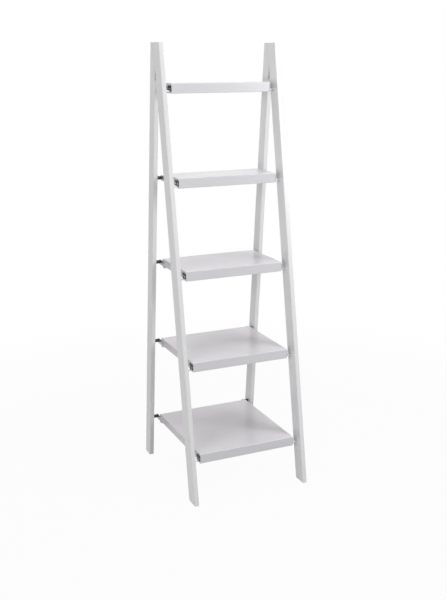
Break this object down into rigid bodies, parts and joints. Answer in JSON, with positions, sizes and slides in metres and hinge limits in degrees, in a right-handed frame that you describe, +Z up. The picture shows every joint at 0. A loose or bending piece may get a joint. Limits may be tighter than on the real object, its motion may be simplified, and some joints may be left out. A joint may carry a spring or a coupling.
{
  "type": "ladder shelf",
  "caption": "Free-standing white A-frame ladder shelf with hinged legs and shelves that deepen towards the floor and fold up with the frame.",
  "frame": {"origin": "middle of the footprint, on the floor", "axes": "+X is the shelf's right as seen from the front, -Y is the front, +Z is up"},
  "size_m": [0.5, 0.5692, 1.75],
  "materials": {
    "white_lacquer": "satin white lacquer sprayed on board",
    "black_steel": "black powder coat",
    "zinc_steel": "bright zinc plate",
    "hinge_steel": "satin nickel plate",
    "black_nylon": "moulded black nylon",
    "foot_rubber": "matte grey rubber"
  },
  "bodies": {
    "front_frame": {"front_leg_left": "white_lacquer", "front_leg_right": "white_lacquer", "hinge_front_leaf_left": "hinge_steel", "hinge_front_leaf_right": "hinge_steel", "hinge_pins": "zinc_steel", "hinge_front_screws": "zinc_steel", "support_pins": "zinc_steel", "front_glides": "foot_rubber"},
    "rear_frame": {"rear_leg_left": "white_lacquer", "rear_leg_right": "white_lacquer", "hinge_rear_leaf_left": "hinge_steel", "hinge_rear_leaf_right": "hinge_steel", "hinge_rear_screws": "zinc_steel", "pivot_studs": "zinc_steel", "pivot_spacers": "black_nylon", "pivot_lock_nuts": "zinc_steel", "rear_glides": "foot_rubber"},
    "shelf_1": {"shelf_1_panel": "white_lacquer", "shelf_1_front_rail": "white_lacquer", "shelf_1_rear_rail": "white_lacquer", "shelf_1_end_rail_left": "white_lacquer", "shelf_1_end_rail_right": "white_lacquer", "shelf_1_hook_plates": "black_steel", "shelf_1_pivot_plates": "zinc_steel", "shelf_1_screws": "zinc_steel"},
    "shelf_2": {"shelf_2_panel": "white_lacquer", "shelf_2_front_rail": "white_lacquer", "shelf_2_rear_rail": "white_lacquer", "shelf_2_end_rail_left": "white_lacquer", "shelf_2_end_rail_right": "white_lacquer", "shelf_2_hook_plates": "black_steel", "shelf_2_pivot_plates": "zinc_steel", "shelf_2_screws": "zinc_steel"},
    "shelf_3": {"shelf_3_panel": "white_lacquer", "shelf_3_front_rail": "white_lacquer", "shelf_3_rear_rail": "white_lacquer", "shelf_3_end_rail_left": "white_lacquer", "shelf_3_end_rail_right": "white_lacquer", "shelf_3_hook_plates": "black_steel", "shelf_3_pivot_plates": "zinc_steel", "shelf_3_screws": "zinc_steel"},
    "shelf_4": {"shelf_4_panel": "white_lacquer", "shelf_4_front_rail": "white_lacquer", "shelf_4_rear_rail": "white_lacquer", "shelf_4_end_rail_left": "white_lacquer", "shelf_4_end_rail_right": "white_lacquer", "shelf_4_hook_plates": "black_steel", "shelf_4_pivot_plates": "zinc_steel", "shelf_4_screws": "zinc_steel"},
    "shelf_5": {"shelf_5_panel": "white_lacquer", "shelf_5_front_rail": "white_lacquer", "shelf_5_rear_rail": "white_lacquer", "shelf_5_end_rail_left": "white_lacquer", "shelf_5_end_rail_right": "white_lacquer", "shelf_5_hook_plates": "black_steel", "shelf_5_pivot_plates": "zinc_steel", "shelf_5_screws": "zinc_steel"}
  },
  "joints": [
    {"name": "frame_fold", "type": "hinge", "parent": "front_frame", "child": "rear_frame", "pos_m": [0, 0.07335, 1.658], "axis": [-1, 0, 0], "range_deg": [0, 15.3]},
    {"name": "shelf_1_tilt", "type": "hinge", "parent": "rear_frame", "child": "shelf_1", "pos_m": [0, 0.10657, 1.583], "axis": [-1, 0, 0], "range_deg": [0, 77]},
    {"name": "shelf_2_tilt", "type": "hinge", "parent": "rear_frame", "child": "shelf_2", "pos_m": [0, 0.14023, 1.2335], "axis": [-1, 0, 0], "range_deg": [0, 77]},
    {"name": "shelf_3_tilt", "type": "hinge", "parent": "rear_frame", "child": "shelf_3", "pos_m": [0, 0.17388, 0.884], "axis": [-1, 0, 0], "range_deg": [0, 77]},
    {"name": "shelf_4_tilt", "type": "hinge", "parent": "rear_frame", "child": "shelf_4", "pos_m": [0, 0.20753, 0.5345], "axis": [-1, 0, 0], "range_deg": [0, 77]},
    {"name": "shelf_5_tilt", "type": "hinge", "parent": "rear_frame", "child": "shelf_5", "pos_m": [0, 0.24205, 0.176], "axis": [-1, 0, 0], "range_deg": [0, 77]}
  ],
  "couplings": [
    {"joint": "shelf_1_tilt", "follows": "frame_fold", "ratio": 5},
    {"joint": "shelf_2_tilt", "follows": "frame_fold", "ratio": 5},
    {"joint": "shelf_3_tilt", "follows": "frame_fold", "ratio": 5},
    {"joint": "shelf_4_tilt", "follows": "frame_fold", "ratio": 5},
    {"joint": "shelf_5_tilt", "follows": "frame_fold", "ratio": 5}
  ]
}
